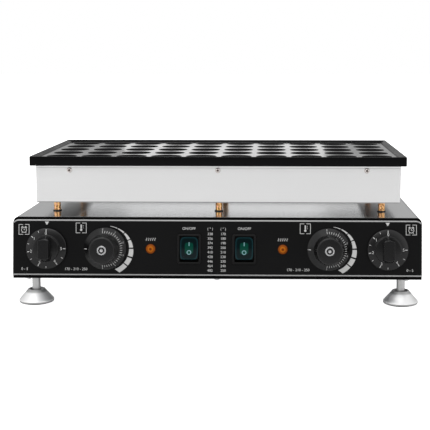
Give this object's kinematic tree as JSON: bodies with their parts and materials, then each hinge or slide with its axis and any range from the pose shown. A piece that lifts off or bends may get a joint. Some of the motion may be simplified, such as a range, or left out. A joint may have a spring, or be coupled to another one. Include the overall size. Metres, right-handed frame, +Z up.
{
  "type": "electric poffertjes maker",
  "caption": "Counter cooker for poffertjes: a cast plate of round cups on a heater box, held by posts above a body with knobs, rocker switches and adjustable feet.",
  "frame": {"origin": "centre of the footprint's bounding box, on the counter", "axes": "+X to the cook's right, +Y to the rear, +Z up; the control panel faces -Y"},
  "size_m": [0.48, 0.3068, 0.1767],
  "materials": {
    "cast_plate": "glossy enamel over cast iron, black in the cups",
    "stainless": "brushed stainless sheet",
    "inner_steel": "plain zinc-coated sheet",
    "element_steel": "heat-darkened steel tube",
    "insulation": "pressed mineral wool",
    "sensor_copper": "bare copper tube",
    "lead_sleeve": "woven glass-fibre sleeve",
    "gold_zinc": "yellow zinc plating",
    "dark_washer": "dark spring steel",
    "screw_steel": "bright steel",
    "red_screw": "heat-tinted steel",
    "panel_black": "satin black coating",
    "control_black": "black print with bright edges",
    "chrome_foot": "polished chrome",
    "foot_rubber": "black rubber",
    "timer_plastic": "light moulded plastic",
    "thermostat_ceramic": "unglazed ceramic",
    "knob_black": "glossy black plastic with white marks",
    "knob_satin": "satin black plastic",
    "cap_silver": "turned bright metal",
    "switch_black": "black plastic",
    "rocker_green": "dark green translucent plastic",
    "lens_orange": "orange translucent plastic",
    "lamp_plastic": "heat-resistant plastic",
    "block_plastic": "moulded terminal plastic",
    "wire_black": "black sheathing",
    "gland_black": "black nylon"
  },
  "bodies": {
    "cooker": {"baking_plate": "cast_plate", "heater_box": "stainless", "heater_box_floor": "inner_steel", "heater_box_screws": "red_screw", "left_heating_element": "element_steel", "right_heating_element": "element_steel", "element_clamps": "inner_steel", "element_clamp_screws": "screw_steel", "heat_shield": "inner_steel", "insulation_pad": "insulation", "left_sensor_bulb": "sensor_copper", "right_sensor_bulb": "sensor_copper", "left_element_leads": "lead_sleeve", "right_element_leads": "lead_sleeve", "front_posts": "gold_zinc", "rear_posts": "gold_zinc", "post_washers": "dark_washer", "post_nuts": "gold_zinc", "body_cover": "stainless", "rear_panel": "stainless", "bottom_plate": "inner_steel", "front_panel": "panel_black", "control_plate": "control_black", "body_screws": "screw_steel", "foot_nuts": "screw_steel", "left_timer": "timer_plastic", "right_timer": "timer_plastic", "left_thermostat": "thermostat_ceramic", "right_thermostat": "thermostat_ceramic", "left_switch_housing": "switch_black", "right_switch_housing": "switch_black", "left_lamp_lens": "lens_orange", "right_lamp_lens": "lens_orange", "lamp_bodies": "lamp_plastic", "control_screws": "screw_steel", "terminal_block": "block_plastic", "supply_loom": "wire_black", "cable_gland": "gland_black", "cable_gland_nut": "gland_black"},
    "left_timer_control": {"left_timer_shaft": "screw_steel", "left_timer_knob": "knob_black"},
    "left_temperature_control": {"left_thermostat_shaft": "screw_steel", "left_temperature_knob": "knob_satin", "left_knob_cap": "cap_silver"},
    "left_switch_rocker": {"left_rocker": "rocker_green"},
    "right_timer_control": {"right_timer_shaft": "screw_steel", "right_timer_knob": "knob_black"},
    "right_temperature_control": {"right_thermostat_shaft": "screw_steel", "right_temperature_knob": "knob_satin", "right_knob_cap": "cap_silver"},
    "right_switch_rocker": {"right_rocker": "rocker_green"},
    "front_left_levelling_foot": {"front_left_foot": "chrome_foot", "front_left_foot_pad": "foot_rubber"},
    "front_right_levelling_foot": {"front_right_foot": "chrome_foot", "front_right_foot_pad": "foot_rubber"},
    "rear_left_levelling_foot": {"rear_left_foot": "chrome_foot", "rear_left_foot_pad": "foot_rubber"},
    "rear_right_levelling_foot": {"rear_right_foot": "chrome_foot", "rear_right_foot_pad": "foot_rubber"}
  },
  "joints": [
    {"name": "left_timer_turn", "type": "hinge", "parent": "cooker", "child": "left_timer_control", "pos_m": [-0.2, -0.12414, 0.0705], "axis": [0, 0.9938, -0.1107], "range_deg": [0, 270]},
    {"name": "left_thermostat_turn", "type": "hinge", "parent": "cooker", "child": "left_temperature_control", "pos_m": [-0.131, -0.12414, 0.0705], "axis": [0, 0.9938, -0.1107], "range_deg": [0, 270]},
    {"name": "left_switch_rock", "type": "hinge", "parent": "cooker", "child": "left_switch_rocker", "pos_m": [-0.0323, -0.12016, 0.07006], "axis": [1, 0, 0], "range_deg": [0, 20]},
    {"name": "right_timer_turn", "type": "hinge", "parent": "cooker", "child": "right_timer_control", "pos_m": [0.2, -0.12414, 0.0705], "axis": [0, 0.9938, -0.1107], "range_deg": [0, 270]},
    {"name": "right_thermostat_turn", "type": "hinge", "parent": "cooker", "child": "right_temperature_control", "pos_m": [0.131, -0.12414, 0.0705], "axis": [0, 0.9938, -0.1107], "range_deg": [0, 270]},
    {"name": "right_switch_rock", "type": "hinge", "parent": "cooker", "child": "right_switch_rocker", "pos_m": [0.0323, -0.12016, 0.07006], "axis": [1, 0, 0], "range_deg": [0, 20]},
    {"name": "front_left_foot_level", "type": "slide", "parent": "cooker", "child": "front_left_levelling_foot", "axis": [0, 0, 1], "range_m": [-0.008, 0.012]},
    {"name": "front_right_foot_level", "type": "slide", "parent": "cooker", "child": "front_right_levelling_foot", "axis": [0, 0, 1], "range_m": [-0.008, 0.012]},
    {"name": "rear_left_foot_level", "type": "slide", "parent": "cooker", "child": "rear_left_levelling_foot", "axis": [0, 0, 1], "range_m": [-0.008, 0.012]},
    {"name": "rear_right_foot_level", "type": "slide", "parent": "cooker", "child": "rear_right_levelling_foot", "axis": [0, 0, 1], "range_m": [-0.008, 0.012]}
  ]
}
